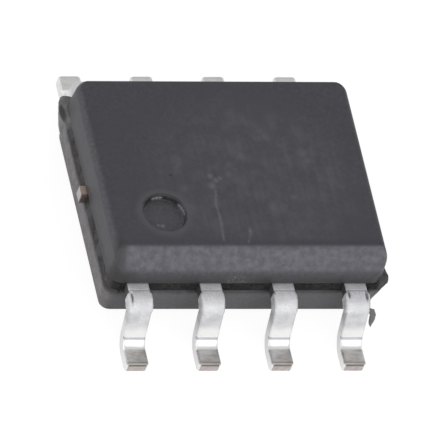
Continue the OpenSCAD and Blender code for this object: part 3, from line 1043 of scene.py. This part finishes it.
TOP_R = 0.042
UNDER_R = 0.016
TOE_PLAN_R = 0.05
TOE_TOP_R = 0.026
TOE_UNDER_R = 0.02
TIN, CUT = 0, 1
# The last rings of a lead show the cut end of the strip.
CUT_RINGS = 4
# Steps of a lead's path along its neck, shoulder, leg, foot bend, foot and toe
NECK_STEPS, SHOULDER_STEPS, LEG_STEPS, BEND_STEPS, FOOT_STEPS, TOE_STEPS = 35, 26, 28, 28, 14, 9
# Steps along the right side, top, left side and underside of the strip's cross-section
SECTION_STEPS = (6, 26, 6, 16)
STUB_END = SHOULDER + 0.30 * math.sin(LEG_SLOPE / 2)
# Only the lead outside the body is uneven.
UNEVEN_FROM = 0.31
# Steps between the seeds of one lead's noise and the next one's
LEAD_SEED = 1.7
# Half the length over which a sheared stub grows, and over which it shrinks again
STUB_GROWS, STUB_SHRINKS = 0.006, 0.012
GROOVE_STARTS, GROOVE_ENDS = 0.03, 0.05
# Grooves beside the sheared stubs: place across, start and end along the strip, half width, depth
GROOVES = {1: ((-0.150, 0.44, 0.66, 0.020, 0.025),),
           4: ((-0.150, 0.44, 0.56, 0.024, 0.025), (0.155, 0.46, 0.58, 0.034, 0.03)),
           6: ((0.140, 0.48, 0.62, 0.018, 0.02),)}
FLAG_HALF, FLAG_END = 0.38, 0.68
ARM_OUT, ARM_END = 0.34, 1.45
FINGER_BEVEL = 0.008


def lead_path():
    """Middle line of a lead as (out, up, tilt, length so far); tilt is how far it points down."""
    mid = LEAD_T / 2
    points = []

    def add(out, up, tilt):
        length = 0.0
        if points:
            length = points[-1][3] + math.hypot(out - points[-1][0], up - points[-1][1])
        points.append((out, up, tilt, length))

    z_mid = BAND_BOTTOM + mid
    for i in range(NECK_STEPS + 1):
        add(-NECK_IN + (NECK_IN + SHOULDER) * i / NECK_STEPS, z_mid, 0.0)
    for i in range(1, SHOULDER_STEPS + 1):
        a = LEG_SLOPE * i / SHOULDER_STEPS
        add(SHOULDER + SHOULDER_R * math.sin(a), z_mid - SHOULDER_R * (1 - math.cos(a)), a)
    drop = z_mid - mid - (SHOULDER_R + FOOT_R) * (1 - math.cos(LEG_SLOPE))
    leg = drop / math.sin(LEG_SLOPE)
    out0, up0 = points[-1][0], points[-1][1]
    for i in range(1, LEG_STEPS + 1):
        t = leg * i / LEG_STEPS
        add(out0 + t * math.cos(LEG_SLOPE), up0 - t * math.sin(LEG_SLOPE), LEG_SLOPE)
    foot_out = points[-1][0] + FOOT_R * math.sin(LEG_SLOPE)
    for i in range(1, BEND_STEPS + 1):
        a = LEG_SLOPE * (1 - i / BEND_STEPS)
        add(foot_out - FOOT_R * math.sin(a), mid + FOOT_R * (1 - math.cos(a)), a)
    flat_end = TOE - TOE_PLAN_R
    for i in range(1, FOOT_STEPS + 1):
        add(foot_out + (flat_end - foot_out) * i / FOOT_STEPS, mid, 0.0)
    for a in quarter(TOE_STEPS)[1:]:
        add(flat_end + TOE_PLAN_R * math.sin(a), mid, 0.0)
    return points


def on_circle(x, y, r, degrees):
    a = math.radians(degrees)
    return Vector((x + r * math.cos(a), y + r * math.sin(a)))


def section(left, right, above, below):
    """Cross-section of the strip as (across, up from the middle line), anticlockwise."""
    corners = ((right - UNDER_R, UNDER_R - below, UNDER_R, -90), (right - TOP_R, above - TOP_R, TOP_R, 0),
               (left + TOP_R, above - TOP_R, TOP_R, 90), (left + UNDER_R, UNDER_R - below, UNDER_R, 180))
    points = []
    for ((x, y, r, start), goal), steps in zip(neighbours(corners), SECTION_STEPS):
        points += [on_circle(x, y, r, start + 90 * i / 4) for i in range(5)]
        points += straight(points[-1], on_circle(*goal), steps)
    return points


def rounded_end(to_end, r):
    """How far a rounding of radius r takes the surface in, this far from its end."""
    return r - math.sqrt(r ** 2 - (r - to_end) ** 2) if to_end < r else 0.0


def strip_edges(number, out, length, toe_length):
    """Left, right, above and below of the strip at one place, with the stubs and the round toe."""
    stub_left, stub_right = STUBS[number - 1]
    seed = number * LEAD_SEED
    window = smooth(STUB_START - STUB_GROWS, STUB_START + STUB_GROWS, out)
    window *= 1 - smooth(STUB_END - STUB_SHRINKS, STUB_END + STUB_SHRINKS, out)
    left = -LEAD_W / 2 - stub_left * window * (1 + 0.18 * wobble((length, 0, 0), 24.0, seed))
    right = LEAD_W / 2 + stub_right * window * (1 + 0.2 * wobble((length, 1, 0), 26.0, seed))
    above = below = LEAD_T / 2
    past = clamp((length - toe_length) / TOE_PLAN_R)
    if past > 0:
        inward = TOE_PLAN_R * (1 - math.sqrt(max(0.0, 1 - past * past)))
        left, right = left + inward, right - inward
        to_end = TOE_PLAN_R * (1 - past)
        above -= rounded_end(to_end, TOE_TOP_R)
        below -= rounded_end(to_end, TOE_UNDER_R)
    return left, right, above, below


def worn(number, across, rise, length):
    """A point of the cross-section after the unevenness of the skin and the grooves."""
    seed = number * LEAD_SEED
    place = Vector((across, length, rise))
    if length > UNEVEN_FROM and rise > -0.06:
        rise += 0.0022 * wobble(place, 7.0, seed) + 0.0008 * wobble(place, 20.0, seed + 3)
    if length > UNEVEN_FROM and abs(across) > 0.1 and abs(rise) < 0.06:
        across += 0.003 * wobble(place, 9.0, seed + 5)
    for line, start, end, width, depth in GROOVES.get(number, ()):
        if rise > 0.05:
            along = smooth(start, start + GROOVE_STARTS, length)
            along *= 1 - smooth(end - GROOVE_ENDS, end, length)
            rise -= depth * along * (1 - smooth(0.0, width, abs(across - line)))
    return across, rise


def lead(number, tin, cut):
    bm = bmesh.new()
    slot = (number - 1) % ROW_LEADS
    path = lead_path()
    toe_length = path[-1][3] - TOE_PLAN_R
    rings = []
    for out, up, tilt, length in path:
        ring = []
        for across, rise in section(*strip_edges(number, out, length, toe_length)):
            across, rise = worn(number, across, rise, length)
            y = FRONT - (out + rise * math.sin(tilt))
            z = up + rise * math.cos(tilt)
            ring.append(bm.verts.new((across, y, max(z, 0.0))))
        rings.append(ring)
    for index, (a, b) in enumerate(zip(rings, rings[1:])):
        bridge(bm, a, b, CUT if index > len(rings) - CUT_RINGS else TIN)
    end = rings[-1]
    middle = sum((v.co for v in end), Vector()) / len(end)
    inner = [bm.verts.new(v.co.lerp(middle, 0.2)) for v in end]
    bridge(bm, end, inner, CUT)
    bm.faces.new(inner).material_index = CUT
    bm.faces.new(rings[0])
    finger(bm, slot)
    turn = Matrix.Rotation(math.pi if number > ROW_LEADS else 0, 4, "Z")
    shift = Matrix.Translation(((slot - (ROW_LEADS - 1) / 2) * PITCH, 0, 0))
    bmesh.ops.transform(bm, matrix=turn @ shift, verts=bm.verts)
    piece = make_object(f"dressed_lead_{number}", bm, [tin, cut])
    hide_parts(f"lead_{number}")
    return piece


def finger(bm, slot):
    """Plate at the lead's inner end that a wire lands on, or the arm beside the die pad."""
    left, right, end = -FLAG_HALF, FLAG_HALF, FLAG_END
    if slot in (0, ROW_LEADS - 1):
        left, right, end = -LEAD_W / 2, ARM_OUT, ARM_END
    plan = [(left, NECK_IN), (left, end), (right, end), (right, NECK_IN)]
    if slot >= ROW_LEADS / 2:
        plan = [(-x, y) for x, y in reversed(plan)]
    lower = [bm.verts.new((x, y - HALF_W, BAND_BOTTOM)) for x, y in plan]
    upper = [bm.verts.new((x, y - HALF_W, BAND_TOP)) for x, y in plan]
    bridge(bm, lower, upper)
    faces = [bm.faces.new(lower), bm.faces.new(upper)]
    edges = {e for f in faces for e in f.edges} | {e for v in lower for e in v.link_edges}
    bmesh.ops.bevel(bm, geom=list(edges), offset=FINGER_BEVEL, segments=2, affect="EDGES")


# ---------------------------------------------------------------- chip of resin beside lead 4

CHIP_OUTLINE = ((0, 0.06), (0.09, 0.03), (0.145, -0.09), (0.165, -0.23), (0.145, -0.45), (0.085, -0.34),
                (0.05, -0.12), (0, -0.03))
# Layers of the chip through its thickness, as (scale, depth)
CHIP_LAYERS = ((0.55, -0.9), (0.82, -0.75), (1.0, -0.3), (0.99, 0.35), (0.8, 0.8), (0.5, 0.92))
CHIP_STEPS = 8
# How far its outline starts below the top of its box, and how ragged its edge is
CHIP_DROP = 0.06
CHIP_RAGGED = 0.006


def resin_flake(material):
    low, high = box_mm("resin_chip")
    bm = bmesh.new()
    corners = [Vector((low.x + x, high.z - CHIP_DROP + z)) for x, z in CHIP_OUTLINE]
    edge = []
    for a, b in neighbours(corners):
        for k in range(CHIP_STEPS):
            p = a.lerp(b, k / CHIP_STEPS)
            shift = [CHIP_RAGGED * wobble((p.x, p.y, side), 30, 4 + side) for side in (0, 1)]
            edge.append(p + Vector(shift))
    middle = sum(edge, Vector((0, 0))) / len(edge)
    y_mid, half = (low.y + high.y) / 2, (high.y - low.y) / 2
    rings = []
    for scale, depth in CHIP_LAYERS:
        ring = []
        for p in edge:
            q = middle.lerp(p, scale)
            y = y_mid + half * depth * (0.8 + 0.2 * wobble((q.x, q.y, depth), 14, 6))
            ring.append(bm.verts.new((max(q.x, low.x), y, q.y)))
        rings.append(ring)
    bridge_all(bm, rings)
    for ring in (rings[0], rings[-1]):
        hub = bm.verts.new(sum((v.co for v in ring), Vector()) / len(ring))
        for a, b in neighbours(ring):
            bm.faces.new((a, b, hub))
    piece = make_object("resin_flake", bm, [material])
    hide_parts("resin_chip")
    return piece


# ---------------------------------------------------------------- stage, light and camera

FLOOR_HALF = 2500
FLOOR_DROP = 0.002
# Grey and glow of the table: as it lights the object, as it is mirrored and as it is seen
TABLE_PLAIN, TABLE_MIRRORED, TABLE_SEEN = (0.80, 0.0), (0.62, 0.36), (0.12, 0.93)
ROOM_LIGHT = 0.62
ROOM_TINT = (0.98, 0.99, 1)
CEILING = 0.60
CEILING_FROM = 0.25
CEILING_FULL = 0.70


def rays(tree, *kinds):
    """1 for rays of any of these kinds."""
    path = add_node(tree, "LightPath", {}).outputs
    found, *others = [path[kind] for kind in kinds]
    for other in others:
        found = add_node(tree, "Math", {0: found, 1: other}, operation="MAXIMUM").outputs[0]
    return found


def choose(tree, factor, plain, chosen):
    return add_node(tree, "MixShader", {0: factor, 1: plain, 2: chosen}).outputs[0]


def white_table(tree, grey, glow):
    """A pale surface that shows shadow in the part that isn't its own glow."""
    plain = add_node(tree, "BsdfDiffuse", {"Color": (grey, grey, grey)})
    light = add_node(tree, "Emission", {"Strength": glow})
    return add_node(tree, "AddShader", {0: plain.outputs[0], 1: light.outputs[0]}).outputs[0]


def floor_material():
    """Pale table: plain for the light it gives back, white where it is seen or mirrored."""
    material = bpy.data.materials.new("white_table")
    tree = empty_tree(material)
    mirrored = rays(tree, "Is Glossy Ray", "Is Transmission Ray")
    shader = choose(tree, mirrored, white_table(tree, *TABLE_PLAIN), white_table(tree, *TABLE_MIRRORED))
    shader = choose(tree, rays(tree, "Is Camera Ray"), shader, white_table(tree, *TABLE_SEEN))
    add_node(tree, "OutputMaterial", {"Surface": shader})
    return material


def floor():
    bm = bmesh.new()
    bmesh.ops.create_grid(bm, x_segments=1, y_segments=1, size=FLOOR_HALF)
    plane = make_object("floor", bm, [floor_material()], smooth_faces=False)
    plane.location.z = -FLOOR_DROP * MM


def world():
    """White room with a dimmer ceiling, and an even light for the object."""
    made = bpy.data.worlds.new("studio")
    bpy.context.scene.world = made
    tree = empty_tree(made)
    coords = add_node(tree, "TexCoord", {})
    parts = add_node(tree, "SeparateXYZ", {0: coords.outputs["Generated"]})
    inputs = {"Value": parts.outputs[2], "From Min": CEILING_FROM, "From Max": CEILING_FULL,
              "To Min": 1.0, "To Max": CEILING}
    height = add_node(tree, "MapRange", inputs, interpolation_type="SMOOTHSTEP")
    white = add_node(tree, "Background", {"Color": (1, 1, 1), "Strength": height.outputs[0]})
    room = add_node(tree, "Background", {"Color": ROOM_TINT, "Strength": ROOM_LIGHT})
    seen = rays(tree, "Is Camera Ray", "Is Glossy Ray", "Is Transmission Ray")
    shader = choose(tree, seen, room.outputs[0], white.outputs[0])
    add_node(tree, "OutputWorld", {"Surface": shader})


def softbox(name, way, distance, size, light):
    """Square area light in a direction from the object, facing it, in metres. light is how
    brightly it would show a white card that faces it at the object, with 1 as plain white."""
    data = bpy.data.lights.new(name, "AREA")
    data.shape = "SQUARE"
    data.size = size
    data.energy = light * (math.pi * distance) ** 2
    lamp = bpy.data.objects.new(name, data)
    way = Vector(way).normalized()
    lamp.location = way * distance
    lamp.rotation_euler = way.to_track_quat("Z", "Y").to_euler()
    bpy.context.collection.objects.link(lamp)


# Soft boxes, as (name, direction from the object, distance, size, light)
SOFTBOXES = (("key", (0.20, -0.75, 0.62), 0.9, 1.0, 0.42), ("side", (-0.90, 0.10, 0.42), 1.0, 0.9, 0.12))
AZIMUTH = math.radians(-29.97)
ELEVATION = math.radians(49.06)
ROLL = math.radians(23.62)
DISTANCE = 301.0
AIM_HEIGHT = 0.8
PAN = (-0.0107, 0.405)
SENSOR = 36.0
LENS = 1467.5
CLIP_START, CLIP_END = 0.01, 5.0


def camera():
    back = Vector((math.sin(AZIMUTH) * math.cos(ELEVATION), -math.cos(AZIMUTH) * math.cos(ELEVATION),
                   math.sin(ELEVATION)))
    level = Vector((0, 0, 1)).cross(back).normalized()
    over = back.cross(level)
    right = math.cos(ROLL) * level + math.sin(ROLL) * over
    up = back.cross(right)
    place = Vector((0, 0, AIM_HEIGHT)) + back * DISTANCE - right * PAN[0] - up * PAN[1]
    data = bpy.data.cameras.new("camera")
    data.sensor_width = SENSOR
    data.lens = LENS
    data.clip_start = CLIP_START
    data.clip_end = CLIP_END
    made = bpy.data.objects.new("camera", data)
    made.matrix_world = Matrix.Translation(place * MM) @ Matrix((right, up, back)).transposed().to_4x4()
    bpy.context.collection.objects.link(made)
    bpy.context.scene.camera = made


# ---------------------------------------------------------------- the scene

def dress_cad(nodes, material):
    """Gives carried-over CAD nodes a material, without touching their meshes."""
    for name in nodes:
        for slot in frame["nodes"][name].material_slots:
            slot.material = material


def build():
    resin = resin_material()
    tin = tin_material()
    cut = sheared_material()
    numbers = range(1, 2 * ROW_LEADS + 1)
    pieces = [moulded_body(resin, broken_resin_material()), resin_flake(resin)]
    pieces += [lead(number, tin, cut) for number in numbers]
    for piece in pieces:
        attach(piece, "root")
    dress_cad(["die_pad"], copper_material())
    dress_cad(["die_glue"], glue_material())
    dress_cad(["silicon_die"], silicon_material())
    dress_cad([f"bond_wire_{number}" for number in numbers], gold_material())
    floor()
    world()
    for box in SOFTBOXES:
        softbox(*box)
    camera()
    bpy.context.scene.view_settings.view_transform = "Standard"


build()
